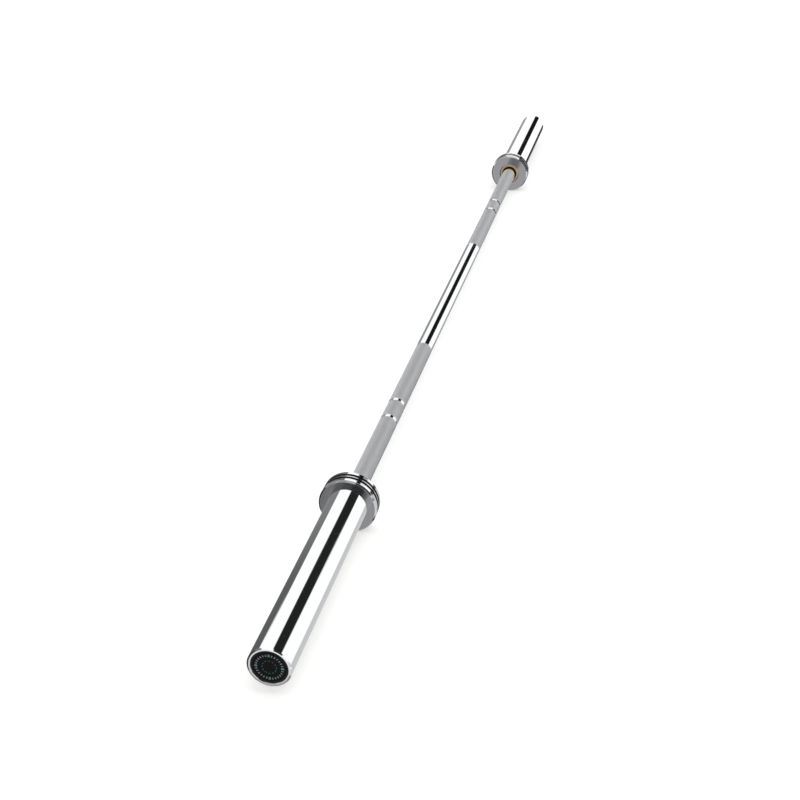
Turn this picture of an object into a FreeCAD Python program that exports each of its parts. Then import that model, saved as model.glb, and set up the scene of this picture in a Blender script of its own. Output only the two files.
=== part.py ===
import FreeCAD, Part
import os
import re

import Sketcher

# Weightlifting bar, millimetres. The shaft lies along X with its middle at the origin and +Z up.
# Each end piece is drawn about X from its own inboard face at zero, with +X outboard, and is then
# placed on the right end, or turned half round Z for the left end.

FULL_TURN = 360.0
HALF_TURN = 180.0

# Driving dimensions: alias, size in millimetres, meaning
SIZES = (
    # shaft
    ("collar_span", 1310.0, "between the inner faces of the two collars"),
    ("grip_dia", 25.0, "plain shaft"),
    ("knurl_rise", 0.1, "height of the knurl's crests over the plain shaft"),
    ("plain_centre_span", 430.0, "plain length in the middle of the shaft"),
    ("inner_mark_span", 810.0, "between the middles of the inner ring marks"),
    ("outer_mark_span", 910.0, "between the middles of the outer ring marks"),
    ("mark_width", 5.0, "width of a ring mark"),
    ("mark_depth", 0.3, "depth of a ring mark below the plain shaft"),
    ("knurl_stop", 12.0, "plain length from the knurl to the collar"),
    ("shoulder_step", 2.5, "radial step from the shaft down to its journal"),
    ("shaft_end_land", 3.0, "journal left outboard of the circlip groove"),
    ("shaft_end_chamfer", 1.0, "chamfer of the shaft's end"),
    # collar
    ("collar_dia", 75.0, "rim of the collar"),
    ("collar_width", 25.0, "inner face to outer face"),
    ("collar_web", 4.0, "wall between the bush flange and the sleeve"),
    ("collar_outer_chamfer", 2.0, "rim edge on the plate side"),
    ("collar_inner_chamfer", 2.0, "rim edge on the grip side"),
    ("rim_land", 3.0, "land round the middle of the rim, between its two grooves"),
    ("rim_groove_width", 4.0, "each groove, at its mouth"),
    ("rim_groove_depth", 2.0, "each groove, below the rim"),
    ("rim_groove_slope", 0.4, "how much narrower a groove is at its floor, each side"),
    # sleeve
    ("load_length", 325.0, "collar to the end of the sleeve"),
    ("sleeve_dia", 50.0, "outside of the sleeve"),
    ("sleeve_wall", 8.5, "wall round the long bore"),
    ("spigot_step", 2.0, "radial step from the sleeve down to its spigot in the collar"),
    ("sleeve_rim_wall", 4.0, "wall round the cap"),
    ("sleeve_end_chamfer", 1.2, "outer edge of the sleeve's end"),
    ("sleeve_mouth_chamfer", 1.0, "inner edge of the sleeve's end, round the cap"),
    ("end_chamber_length", 22.0, "room between the outer bush's seat and the cap"),
    # inner bush
    ("running_clearance", 0.05, "radial gap between a bush and the shaft"),
    ("bush_length", 45.0, "inner bush with its flange"),
    ("bush_flange_lip", 1.6, "flange beyond the inner bush's shank"),
    ("bush_flange_thickness", 4.0, "flange of the inner bush"),
    ("bush_flange_gap", 0.9, "radial gap round the flange in the collar"),
    ("bush_sink", 0.4, "flange face below the collar's inner face"),
    ("bush_mouth", 1.6, "radial width of the flare round the shaft"),
    ("bush_mouth_depth", 2.4, "axial depth of that flare"),
    ("bush_edge", 0.5, "chamfer on the other edges of the bushes"),
    # outer bush
    ("end_bush_length", 30.0, "outer bush from its inboard end to its flange"),
    ("end_bush_wall", 4.0, "shank of the outer bush"),
    ("end_flange_thickness", 4.0, "flange of the outer bush"),
    ("hub_height", 3.0, "thrust hub on the flange of the outer bush"),
    ("hub_wall", 2.5, "radial width of the thrust hub"),
    # thrust washers
    ("washer_thickness", 3.0, "both washers"),
    ("washer_gap", 0.1, "end float at each face of a washer"),
    ("washer_bore_gap", 0.15, "radial gap between a washer and the journal"),
    ("washer_rim_gap", 1.0, "radial gap between a washer and the hole round it"),
    # circlips
    ("groove_play", 0.05, "axial gap between a circlip and each wall of its groove"),
    ("shaft_clip_thickness", 1.2, "circlip on the shaft"),
    ("shaft_clip_groove", 0.5, "depth of its groove"),
    ("shaft_clip_width", 2.6, "radial width opposite the gap"),
    ("shaft_clip_taper", 0.5, "how far its outer edge is off centre"),
    ("shaft_clip_lug", 4.0, "diameter of a lug"),
    ("shaft_clip_hole", 2.0, "hole in a lug"),
    ("shaft_clip_gap", 3.0, "opening between the lugs"),
    ("sleeve_clip_thickness", 1.5, "circlip in the sleeve"),
    ("sleeve_clip_groove", 1.0, "depth of its groove"),
    ("sleeve_clip_width", 3.5, "radial width opposite the gap"),
    ("sleeve_clip_taper", 0.6, "how far its inner edge is off centre"),
    ("sleeve_clip_lug", 5.0, "diameter of a lug"),
    ("sleeve_clip_hole", 2.5, "hole in a lug"),
    ("sleeve_clip_gap", 6.0, "opening between the lugs"),
    # end cap and disc
    ("cap_length", 12.0, "plug from its face to its seat"),
    ("cap_ledge", 3.0, "radial width of the ledge that seats the plug"),
    ("cap_sink", 0.6, "face of the plug below the sleeve's end"),
    ("cap_face", 3.0, "thickness of the plug's face"),
    ("cap_edge", 0.5, "chamfer round the plug's face"),
    ("disc_rim", 2.0, "rim of the plug round the disc"),
    ("disc_thickness", 0.8, "printed disc"),
    ("disc_gap", 0.1, "radial gap round the disc"),
)

# Radii, as sums of the sizes above
GRIP_R = "(grip_dia / 2)"
KNURL_R = f"({GRIP_R} + knurl_rise)"
MARK_R = f"({GRIP_R} - mark_depth)"
JOURNAL_R = f"({GRIP_R} - shoulder_step)"
SHAFT_GROOVE_R = f"({JOURNAL_R} - shaft_clip_groove)"
COLLAR_R = "(collar_dia / 2)"
SLEEVE_R = "(sleeve_dia / 2)"
SPIGOT_R = f"({SLEEVE_R} - spigot_step)"
BORE_R = f"({SLEEVE_R} - sleeve_wall)"
FLANGE_R = f"({BORE_R} + bush_flange_lip)"
CAP_R = f"({SLEEVE_R} - sleeve_rim_wall)"
CHAMBER_R = f"({CAP_R} - cap_ledge)"
SLEEVE_GROOVE_R = f"({CHAMBER_R} + sleeve_clip_groove)"
BUSH_BORE_R = f"({GRIP_R} + running_clearance)"
END_BORE_R = f"({JOURNAL_R} + running_clearance)"
END_BUSH_R = f"({END_BORE_R} + end_bush_wall)"
HUB_R = f"({END_BORE_R} + hub_wall)"
WASHER_BORE_R = f"({JOURNAL_R} + washer_bore_gap)"
DISC_SEAT_R = f"({CAP_R} - disc_rim)"

# Widths of the circlip grooves, and depth of the flange recess in the collar
SHAFT_GROOVE_WIDTH = "(shaft_clip_thickness + 2 * groove_play)"
SLEEVE_GROOVE_WIDTH = "(sleeve_clip_thickness + 2 * groove_play)"
RECESS_DEPTH = "(bush_flange_thickness + bush_sink)"

# Places along the right half of the bar, from the middle outwards
COLLAR_X = "(collar_span / 2)"
SLEEVE_X = f"({COLLAR_X} + {RECESS_DEPTH} + collar_web)"
COLLAR_FACE_X = f"({COLLAR_X} + collar_width)"
END_X = f"({COLLAR_FACE_X} + load_length)"
BUSH_X = f"({COLLAR_X} + bush_sink)"
CAP_FACE_X = f"({END_X} - cap_sink)"
CAP_SEAT_X = f"({CAP_FACE_X} - cap_length)"
FLANGE_SEAT_X = f"({CAP_SEAT_X} - end_chamber_length)"
END_BUSH_X = f"({FLANGE_SEAT_X} - end_bush_length)"
SHOULDER_WASHER_X = f"({END_BUSH_X} - washer_gap - washer_thickness)"
SHOULDER_X = f"({SHOULDER_WASHER_X} - washer_gap)"
SLEEVE_GROOVE_X = f"({FLANGE_SEAT_X} + end_flange_thickness)"
SLEEVE_CLIP_X = f"({SLEEVE_GROOVE_X} + groove_play)"
END_WASHER_X = f"({SLEEVE_GROOVE_X} + hub_height + washer_gap)"
SHAFT_CLIP_X = f"({END_WASHER_X} + washer_thickness + washer_gap)"
SHAFT_GROOVE_X = f"({SHAFT_CLIP_X} - groove_play)"
SHAFT_GROOVE_END_X = f"({SHAFT_GROOVE_X} + {SHAFT_GROOVE_WIDTH})"
SHAFT_END_X = f"({SHAFT_GROOVE_END_X} + shaft_end_land)"

doc = FreeCAD.newDocument("barbell")
sheet = doc.addObject("Spreadsheet::Sheet", "sizes")
for row, (alias, size, meaning) in enumerate(SIZES, start=1):
    sheet.set(f"A{row}", alias)
    sheet.set(f"B{row}", str(size))
    sheet.set(f"C{row}", meaning)
    sheet.setAlias(f"B{row}", alias)
doc.recompute()


def bound(text):
    """A sum of aliases as an expression on the sheet."""
    return re.sub(r"\b(?!sqrt)[a-z]\w*", r"sizes.\g<0>", text)


def number(text):
    """The present value of a sum of aliases."""
    return float(sheet.evalExpression(bound(text)))


def new_sketch(body, name, plane):
    """An empty sketch on one of the body's own origin planes."""
    sketch = body.newObject("Sketcher::SketchObject", name)
    support = next(item for item in body.Origin.OriginFeatures if item.Role == plane)
    sketch.AttachmentSupport = (support, "")
    sketch.MapMode = "FlatFace"
    return sketch


def constrain(sketch, kind, place, name, text):
    """One dimension of the sketch, tied to the sheet."""
    index = sketch.addConstraint(Sketcher.Constraint(kind, *place, number(text)))
    sketch.renameConstraint(index, name)
    sketch.setExpression(f"Constraints.{name}", bound(text))


def draw_outline(sketch, points):
    """A closed run of straight lines through points given as pairs of sums of aliases."""
    count = len(points)
    corners = [FreeCAD.Vector(number(across), number(up), 0) for across, up in points]
    first = sketch.GeometryCount
    for index in range(count):
        sketch.addGeometry(Part.LineSegment(corners[index], corners[(index + 1) % count]))
    for index in range(count):
        following = first + (index + 1) % count
        sketch.addConstraint(Sketcher.Constraint("Coincident", first + index, 2, following, 1))
    for index, (across, up) in enumerate(points):
        corner = (first + index, 1)
        constrain(sketch, "DistanceX", corner, f"across_{first + index}", across)
        constrain(sketch, "DistanceY", corner, f"up_{first + index}", up)


def draw_circle(sketch, across, up, radius):
    """A circle whose centre and radius are sums of aliases."""
    centre = FreeCAD.Vector(number(across), number(up), 0)
    circle = sketch.addGeometry(Part.Circle(centre, FreeCAD.Vector(0, 0, 1), number(radius)))
    constrain(sketch, "DistanceX", (circle, 3), f"across_{circle}", across)
    constrain(sketch, "DistanceY", (circle, 3), f"up_{circle}", up)
    constrain(sketch, "Radius", (circle,), f"radius_{circle}", radius)


def turned_body(label, outline):
    """A piece turned about X from half of its section, given as axial places and radii."""
    body = doc.addObject("PartDesign::Body", label)
    section = new_sketch(body, f"{label}_section", "XY_Plane")
    draw_outline(section, outline)
    turning = body.newObject("PartDesign::Revolution", f"{label}_turning")
    turning.Profile = section
    turning.ReferenceAxis = (section, ["H_Axis"])
    turning.Angle = FULL_TURN
    doc.recompute()
    return body


def pad(body, sketch, name, length):
    """Material from the YZ plane towards +X."""
    feature = body.newObject("PartDesign::Pad", name)
    feature.Profile = sketch
    feature.setExpression("Length", bound(length))
    doc.recompute()
    return feature


def cut_through(body, sketch, name):
    """A cut through the whole body towards +X, which has to take material away."""
    before = body.Shape.Volume
    feature = body.newObject("PartDesign::Pocket", name)
    feature.Profile = sketch
    feature.Type = "ThroughAll"
    feature.Reversed = True
    doc.recompute()
    if body.Shape.Volume >= before:
        raise RuntimeError(f"{name} takes nothing away")


def make_shaft():
    """One half of the shaft, mirrored at the middle of the bar."""
    marks = []
    for span in ("inner_mark_span", "outer_mark_span"):
        start = f"({span} / 2 - mark_width / 2)"
        end = f"({span} / 2 + mark_width / 2)"
        marks += [(start, KNURL_R), (start, MARK_R), (end, MARK_R), (end, KNURL_R)]
    knurl_start = "(plain_centre_span / 2)"
    knurl_end = f"({COLLAR_X} - knurl_stop)"
    outline = [
        ("0", "0"),
        ("0", GRIP_R),
        (knurl_start, GRIP_R),
        (knurl_start, KNURL_R),
        *marks,
        (knurl_end, KNURL_R),
        (knurl_end, GRIP_R),
        (SHOULDER_X, GRIP_R),
        (SHOULDER_X, JOURNAL_R),
        (SHAFT_GROOVE_X, JOURNAL_R),
        (SHAFT_GROOVE_X, SHAFT_GROOVE_R),
        (SHAFT_GROOVE_END_X, SHAFT_GROOVE_R),
        (SHAFT_GROOVE_END_X, JOURNAL_R),
        (f"({SHAFT_END_X} - shaft_end_chamfer)", JOURNAL_R),
        (SHAFT_END_X, f"({JOURNAL_R} - shaft_end_chamfer)"),
        (SHAFT_END_X, "0"),
    ]
    body = turned_body("shaft", outline)
    half_volume = body.Shape.Volume
    mirror = body.newObject("PartDesign::Mirrored", "shaft_other_half")
    mirror.Originals = [body.Tip]
    middle = next(item for item in body.Origin.OriginFeatures if item.Role == "YZ_Plane")
    mirror.MirrorPlane = (middle, [""])
    body.Tip = mirror
    doc.recompute()
    if body.Shape.Volume <= half_volume:
        raise RuntimeError("the shaft has only one half")
    return body


def make_collar(label):
    """Stop ring: flange recess and web on the grip side, spigot seat on the plate side, two rim grooves.

    The seat's lead-in chamfer ends where the outside of the sleeve meets the plate face."""
    recess_r = f"({FLANGE_R} + bush_flange_gap)"
    web_end = f"({RECESS_DEPTH} + collar_web)"
    land_start = "(collar_width / 2 - rim_land / 2)"
    land_end = "(collar_width / 2 + rim_land / 2)"
    floor_r = f"({COLLAR_R} - rim_groove_depth)"

    def rim_groove(start):
        end = f"({start} + rim_groove_width)"
        return [
            (start, COLLAR_R),
            (f"({start} + rim_groove_slope)", floor_r),
            (f"({end} - rim_groove_slope)", floor_r),
            (end, COLLAR_R),
        ]

    return turned_body(label, [
        ("0", f"({recess_r} + bush_edge)"),
        ("0", f"({COLLAR_R} - collar_inner_chamfer)"),
        ("collar_inner_chamfer", COLLAR_R),
        *rim_groove(f"({land_start} - rim_groove_width)"),
        *rim_groove(land_end),
        ("(collar_width - collar_outer_chamfer)", COLLAR_R),
        ("collar_width", f"({COLLAR_R} - collar_outer_chamfer)"),
        ("collar_width", SLEEVE_R),
        ("(collar_width - spigot_step)", SPIGOT_R),
        (web_end, SPIGOT_R),
        (web_end, BORE_R),
        (RECESS_DEPTH, BORE_R),
        (RECESS_DEPTH, recess_r),
        ("bush_edge", recess_r),
    ])


def make_sleeve(label):
    """Tube with a spigot for the collar, one long bore, a web for the outer bush, and its end chamber."""
    def inside(place):
        return f"({place} - {SLEEVE_X})"

    groove_end = f"({SLEEVE_GROOVE_X} + {SLEEVE_GROOVE_WIDTH})"
    return turned_body(label, [
        ("0", BORE_R),
        ("0", SPIGOT_R),
        (inside(COLLAR_FACE_X), SPIGOT_R),
        (inside(COLLAR_FACE_X), SLEEVE_R),
        (f"({inside(END_X)} - sleeve_end_chamfer)", SLEEVE_R),
        (inside(END_X), f"({SLEEVE_R} - sleeve_end_chamfer)"),
        (inside(END_X), f"({CAP_R} + sleeve_mouth_chamfer)"),
        (f"({inside(END_X)} - sleeve_mouth_chamfer)", CAP_R),
        (inside(CAP_SEAT_X), CAP_R),
        (inside(CAP_SEAT_X), CHAMBER_R),
        (inside(groove_end), CHAMBER_R),
        (inside(groove_end), SLEEVE_GROOVE_R),
        (inside(SLEEVE_GROOVE_X), SLEEVE_GROOVE_R),
        (inside(SLEEVE_GROOVE_X), CHAMBER_R),
        (inside(FLANGE_SEAT_X), CHAMBER_R),
        (inside(FLANGE_SEAT_X), END_BUSH_R),
        (inside(END_BUSH_X), END_BUSH_R),
        (inside(END_BUSH_X), BORE_R),
    ])


def make_inner_bush(label):
    """Flanged bronze bush, its flared face towards the grip."""
    return turned_body(label, [
        ("0", f"({BUSH_BORE_R} + bush_mouth)"),
        ("0", f"({FLANGE_R} - bush_edge)"),
        ("bush_edge", FLANGE_R),
        ("bush_flange_thickness", FLANGE_R),
        ("bush_flange_thickness", BORE_R),
        ("(bush_length - bush_edge)", BORE_R),
        ("bush_length", f"({BORE_R} - bush_edge)"),
        ("bush_length", f"({BUSH_BORE_R} + bush_edge)"),
        ("(bush_length - bush_edge)", BUSH_BORE_R),
        ("bush_mouth_depth", BUSH_BORE_R),
    ])


def make_outer_bush(label):
    """Flanged bronze bush, its flange and thrust hub towards the end of the sleeve."""
    flange_end = "(end_bush_length + end_flange_thickness)"
    hub_end = f"({flange_end} + hub_height)"
    return turned_body(label, [
        ("0", END_BORE_R),
        ("0", f"({END_BUSH_R} - bush_edge)"),
        ("bush_edge", END_BUSH_R),
        ("end_bush_length", END_BUSH_R),
        ("end_bush_length", CHAMBER_R),
        (flange_end, CHAMBER_R),
        (flange_end, HUB_R),
        (hub_end, HUB_R),
        (hub_end, END_BORE_R),
    ])


def make_washer(label, hole_radius):
    """Flat thrust washer that clears the hole round it."""
    rim_r = f"({hole_radius} - washer_rim_gap)"
    return turned_body(label, [
        ("0", WASHER_BORE_R),
        ("0", rim_r),
        ("washer_thickness", rim_r),
        ("washer_thickness", WASHER_BORE_R),
    ])


def make_circlip(label, clip, outer, inner, lug_radius):
    """Circlip with its gap at +Z: ring between two circles, two lugs and their holes."""
    thickness = f"{clip}_thickness"
    lug_across = f"({clip}_gap / 2 + {clip}_lug / 2)"
    lug_up = f"sqrt({lug_radius} ^ 2 - {lug_across} ^ 2)"
    body = doc.addObject("PartDesign::Body", label)
    ring = new_sketch(body, f"{label}_ring", "YZ_Plane")
    draw_circle(ring, "0", *outer)
    draw_circle(ring, "0", *inner)
    pad(body, ring, f"{label}_blank", thickness)
    for name, hand in (("lug_a", "-"), ("lug_b", "")):
        lug = new_sketch(body, f"{label}_{name}", "YZ_Plane")
        draw_circle(lug, f"{hand}{lug_across}", lug_up, f"({clip}_lug / 2)")
        pad(body, lug, f"{label}_{name}_pad", thickness)
    gap = new_sketch(body, f"{label}_gap", "YZ_Plane")
    draw_outline(gap, [
        (f"(-{clip}_gap / 2)", f"({lug_radius} - {clip}_lug)"),
        (f"({clip}_gap / 2)", f"({lug_radius} - {clip}_lug)"),
        (f"({clip}_gap / 2)", f"({lug_radius} + {clip}_lug)"),
        (f"(-{clip}_gap / 2)", f"({lug_radius} + {clip}_lug)"),
    ])
    cut_through(body, gap, f"{label}_gap_cut")
    holes = new_sketch(body, f"{label}_holes", "YZ_Plane")
    draw_circle(holes, f"-{lug_across}", lug_up, f"({clip}_hole / 2)")
    draw_circle(holes, lug_across, lug_up, f"({clip}_hole / 2)")
    cut_through(body, holes, f"{label}_hole_cut")
    return body


def make_shaft_circlip(label):
    """Outer edge off centre, lugs outside the groove's floor."""
    outer_r = f"({SHAFT_GROOVE_R} + shaft_clip_width - shaft_clip_taper)"
    lug_r = f"({SHAFT_GROOVE_R} + shaft_clip_lug / 2)"
    return make_circlip(
        label, "shaft_clip", ("-shaft_clip_taper", outer_r), ("0", SHAFT_GROOVE_R), lug_r
    )


def make_sleeve_circlip(label):
    """Inner edge off centre, lugs inside the groove's floor."""
    inner_r = f"({SLEEVE_GROOVE_R} - sleeve_clip_width + sleeve_clip_taper)"
    lug_r = f"({SLEEVE_GROOVE_R} - sleeve_clip_lug / 2)"
    return make_circlip(
        label, "sleeve_clip", ("0", SLEEVE_GROOVE_R), ("sleeve_clip_taper", inner_r), lug_r
    )


def make_end_cap(label):
    """Cup that opens inwards, its face recessed for the disc."""
    face_back = "(cap_length - cap_face)"
    disc_seat = "(cap_length - disc_thickness)"
    return turned_body(label, [
        ("0", CHAMBER_R),
        ("0", CAP_R),
        ("(cap_length - cap_edge)", CAP_R),
        ("cap_length", f"({CAP_R} - cap_edge)"),
        ("cap_length", DISC_SEAT_R),
        (disc_seat, DISC_SEAT_R),
        (disc_seat, "0"),
        (face_back, "0"),
        (face_back, CHAMBER_R),
    ])


def make_cap_disc(label):
    """Flat disc, flush with the face of the plug."""
    disc_r = f"({DISC_SEAT_R} - disc_gap)"
    return turned_body(label, [
        ("0", "0"),
        ("0", disc_r),
        ("disc_thickness", disc_r),
        ("disc_thickness", "0"),
    ])


def make_shoulder_washer(label):
    return make_washer(label, BORE_R)


def make_end_washer(label):
    return make_washer(label, CHAMBER_R)


# Pieces of one end: name, how it is made, where its inboard face sits on the right half
END_PIECES = (
    ("collar", make_collar, COLLAR_X),
    ("sleeve", make_sleeve, SLEEVE_X),
    ("inner_bush", make_inner_bush, BUSH_X),
    ("outer_bush", make_outer_bush, END_BUSH_X),
    ("sleeve_circlip", make_sleeve_circlip, SLEEVE_CLIP_X),
    ("shoulder_washer", make_shoulder_washer, SHOULDER_WASHER_X),
    ("end_washer", make_end_washer, END_WASHER_X),
    ("shaft_circlip", make_shaft_circlip, SHAFT_CLIP_X),
    ("end_cap", make_end_cap, CAP_SEAT_X),
    ("cap_disc", make_cap_disc, f"({CAP_FACE_X} - disc_thickness)"),
)

pieces = [make_shaft()]
for side, turn, hand in (("left", HALF_TURN, "-"), ("right", 0.0, "")):
    for name, make, place in END_PIECES:
        piece = make(f"{side}_{name}")
        piece.Placement.Rotation = FreeCAD.Rotation(FreeCAD.Vector(0, 0, 1), turn)
        piece.setExpression("Placement.Base.x", bound(f"{hand}{place}"))
        pieces.append(piece)
doc.recompute()

for item in doc.Objects:
    if "Invalid" in item.State or "Error" in item.State:
        raise RuntimeError(f"{item.Label} failed: {item.State}")
for piece in pieces:
    if piece.Shape.isNull() or not piece.Shape.isValid() or len(piece.Shape.Solids) != 1:
        raise RuntimeError(f"{piece.Label} is not one valid solid")

os.makedirs("parts", exist_ok=True)
for piece in pieces:
    piece.Shape.exportStep(f"parts/{piece.Label}.step")
    box = piece.Shape.BoundBox
    print(f"{piece.Label}: x {box.XMin:.2f} to {box.XMax:.2f}, volume {piece.Shape.Volume:.0f}")
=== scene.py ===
# Looks of a weightlifting bar: knurled chrome shaft, and a spinning sleeve with its collar on each end.
# Everything is turned about X. The solids give lengths and radii, this file gives edges, knurl and finish.
import math

import bmesh
import bpy
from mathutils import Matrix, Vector


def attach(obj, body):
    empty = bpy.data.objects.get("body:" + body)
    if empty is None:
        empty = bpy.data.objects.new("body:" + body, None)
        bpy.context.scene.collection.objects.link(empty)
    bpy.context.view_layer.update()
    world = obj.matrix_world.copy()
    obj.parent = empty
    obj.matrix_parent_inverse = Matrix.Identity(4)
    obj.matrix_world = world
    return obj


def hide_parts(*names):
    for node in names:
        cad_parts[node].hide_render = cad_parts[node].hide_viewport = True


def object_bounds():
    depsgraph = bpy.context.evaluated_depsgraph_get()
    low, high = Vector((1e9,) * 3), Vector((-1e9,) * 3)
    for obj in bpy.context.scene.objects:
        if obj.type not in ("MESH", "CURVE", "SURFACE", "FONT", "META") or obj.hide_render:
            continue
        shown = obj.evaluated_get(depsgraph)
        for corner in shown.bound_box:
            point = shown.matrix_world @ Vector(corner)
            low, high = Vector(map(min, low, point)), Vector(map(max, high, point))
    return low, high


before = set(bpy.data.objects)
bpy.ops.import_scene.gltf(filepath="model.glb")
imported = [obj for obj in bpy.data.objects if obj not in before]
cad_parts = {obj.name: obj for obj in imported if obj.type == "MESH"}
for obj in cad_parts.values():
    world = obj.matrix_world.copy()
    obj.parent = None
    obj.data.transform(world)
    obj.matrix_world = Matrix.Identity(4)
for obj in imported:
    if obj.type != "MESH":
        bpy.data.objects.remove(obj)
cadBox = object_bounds()

mm = 0.001
fullTurn = 2 * math.pi
scene = bpy.context.scene
ends = {"left": -1, "right": 1}  # which way along X each end points
print("frame loaded:", len(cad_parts), "solids")


# helpers for nodes, colours and sizes

def addNode(tree, kind, inputs=None, **settings):  # inputs by name, or by number where a node repeats names
    node = tree.nodes.new(kind)
    for name, value in settings.items():
        setattr(node, name, value)
    for key, value in (inputs or {}).items():
        if isinstance(value, bpy.types.NodeSocket):
            tree.links.new(value, node.inputs[key])
        else:
            node.inputs[key].default_value = value
    return node


def linear(hexColour):  # sRGB hex to the linear values that a socket takes
    parts = [int(hexColour[i:i + 2], 16) / 255 for i in (1, 3, 5)]
    return (*[p / 12.92 if p <= 0.04045 else ((p + 0.055) / 1.055) ** 2.4 for p in parts], 1.0)


def newMaterial(name):
    material = bpy.data.materials.new(name)
    material.use_nodes = True
    tree = material.node_tree
    return material, tree, tree.nodes["Principled BSDF"]


def turnedSize(node):  # nearest and farthest distance from the middle of the bar, and the radius
    points = [v.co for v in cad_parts[node].data.vertices]
    along = [abs(p.x) for p in points]
    return min(along), max(along), max(math.hypot(p.y, p.z) for p in points)


# materials

def polishedChrome(name, look):
    # Hard chrome plate on polished steel: a mirror, with hazy patches and hair-fine rubbing marks
    material, tree, shader = newMaterial(name)
    spot = addNode(tree, "ShaderNodeTexCoord").outputs["Object"]
    haze = addNode(tree, "ShaderNodeTexNoise", {"Vector": spot, "Scale": 1 / look["patch"], "Detail": 3})
    streakSpot = addNode(tree, "ShaderNodeMapping", {
        "Vector": spot, "Scale": [1 / size for size in look["streak"]]})
    streaks = addNode(tree, "ShaderNodeTexNoise", {"Vector": streakSpot.outputs[0], "Scale": 1, "Detail": 2})
    markSpan, hazeSpan = (0.62, 0.8), (0.35, 0.65)  # the stretch of each noise that counts
    marks = addNode(tree, "ShaderNodeMapRange", {
        0: streaks.outputs["Fac"], 1: markSpan[0], 2: markSpan[1], 3: 0, 4: look["markRough"]})
    rough = addNode(tree, "ShaderNodeMapRange", {
        0: haze.outputs["Fac"], 1: hazeSpan[0], 2: hazeSpan[1], 3: look["mirror"], 4: look["haze"]})
    both = addNode(tree, "ShaderNodeMath", {0: rough.outputs[0], 1: marks.outputs[0]}, operation="ADD")
    tree.links.new(both.outputs[0], shader.inputs["Roughness"])
    shader.inputs["Base Color"].default_value = linear(look["plate"])
    shader.inputs["Metallic"].default_value = 1
    return material


def knurledChrome():
    # Chrome over a rolled diamond knurl: matt grey from afar, bright crests and dull dark pits close up; the
    # pits' darkness, set by depth, is painted shade
    look = {"crest": "#DDDEE0", "pit": "#C3C4C7", "rough": 0.45, "roughSpread": 0.16, "patch": 25 * mm,
            "pitRadius": 12.25 * mm, "crestRadius": 12.6 * mm,
            "wear": 0.3}  # how far the patches shift the colour
    material, tree, shader = newMaterial("knurled_chrome")
    spot = addNode(tree, "ShaderNodeTexCoord").outputs["Object"]
    across = addNode(tree, "ShaderNodeMapping", {"Vector": spot, "Scale": (0, 1, 1)})
    radius = addNode(tree, "ShaderNodeVectorMath", {0: across.outputs[0]}, operation="LENGTH")
    # painted shade: the colour darkens from the crest tone on the crests to the pit tone down in the pits
    height = addNode(tree, "ShaderNodeMapRange", {
        0: radius.outputs["Value"], 1: look["pitRadius"], 2: look["crestRadius"], 3: 0, 4: 1})
    grime = addNode(tree, "ShaderNodeTexNoise", {"Vector": spot, "Scale": 1 / look["patch"], "Detail": 4})
    level = addNode(tree, "ShaderNodeMath", {
        0: grime.outputs["Fac"], 1: look["wear"], 2: height.outputs[0]}, operation="MULTIPLY_ADD")
    colour = addNode(tree, "ShaderNodeMix", {
        0: level.outputs[0], 6: linear(look["pit"]), 7: linear(look["crest"])}, data_type="RGBA")
    rough = addNode(tree, "ShaderNodeMath", {
        0: grime.outputs["Fac"], 1: look["roughSpread"], 2: look["rough"] - look["roughSpread"] / 2},
        operation="MULTIPLY_ADD")
    tree.links.new(colour.outputs[2], shader.inputs["Base Color"])
    tree.links.new(rough.outputs[0], shader.inputs["Roughness"])
    shader.inputs["Metallic"].default_value = 1
    return material


def turnedFace():
    # Chrome over a lathe-turned face: satin grey, with the tool's rings round the axis
    look = {"plate": "#ABACAF", "rough": 0.1, "roughSpread": 0.06, "patch": 12 * mm, "alongRings": 0.5,
            "ringStep": 0.9 * mm, "ringDepth": 0.004 * mm, "ringStrength": 0.5}  # rings drawn coarse, to show
    material, tree, shader = newMaterial("turned_chrome_face")
    spot = addNode(tree, "ShaderNodeTexCoord").outputs["Object"]
    across = addNode(tree, "ShaderNodeMapping", {"Vector": spot, "Scale": (0, 1, 1)})
    radius = addNode(tree, "ShaderNodeVectorMath", {0: across.outputs[0]}, operation="LENGTH")
    turns = addNode(tree, "ShaderNodeMath", {
        0: radius.outputs["Value"], 1: fullTurn / look["ringStep"]}, operation="MULTIPLY")
    wave = addNode(tree, "ShaderNodeMath", {0: turns.outputs[0]}, operation="SINE")
    bump = addNode(tree, "ShaderNodeBump", {
        "Height": wave.outputs[0], "Strength": look["ringStrength"], "Distance": look["ringDepth"]})
    patches = addNode(tree, "ShaderNodeTexNoise", {"Vector": spot, "Scale": 1 / look["patch"], "Detail": 3})
    rough = addNode(tree, "ShaderNodeMath", {
        0: patches.outputs["Fac"], 1: look["roughSpread"], 2: look["rough"] - look["roughSpread"] / 2},
        operation="MULTIPLY_ADD")
    tangent = addNode(tree, "ShaderNodeTangent", direction_type="RADIAL", axis="X")
    tree.links.new(bump.outputs[0], shader.inputs["Normal"])
    tree.links.new(rough.outputs[0], shader.inputs["Roughness"])
    tree.links.new(tangent.outputs[0], shader.inputs["Tangent"])
    shader.inputs["Base Color"].default_value = linear(look["plate"])
    shader.inputs["Metallic"].default_value = 1
    shader.inputs["Anisotropic"].default_value = look["alongRings"]
    return material


def turnedSteel(name, look):
    # Turned steel in soft patches: near black as painted shade in the collar's grooves and recess, pale where
    # the buff reached
    material, tree, shader = newMaterial(name)
    spot = addNode(tree, "ShaderNodeTexCoord").outputs["Object"]
    oil = addNode(tree, "ShaderNodeTexNoise", {"Vector": spot, "Scale": 1 / look["patch"], "Detail": 4})
    colour = addNode(tree, "ShaderNodeMix", {
        0: oil.outputs["Fac"], 6: linear(look["dark"]), 7: linear(look["pale"])}, data_type="RGBA")
    tree.links.new(colour.outputs[2], shader.inputs["Base Color"])
    shader.inputs["Metallic"].default_value = 1
    shader.inputs["Roughness"].default_value = look["rough"]
    return material


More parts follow.
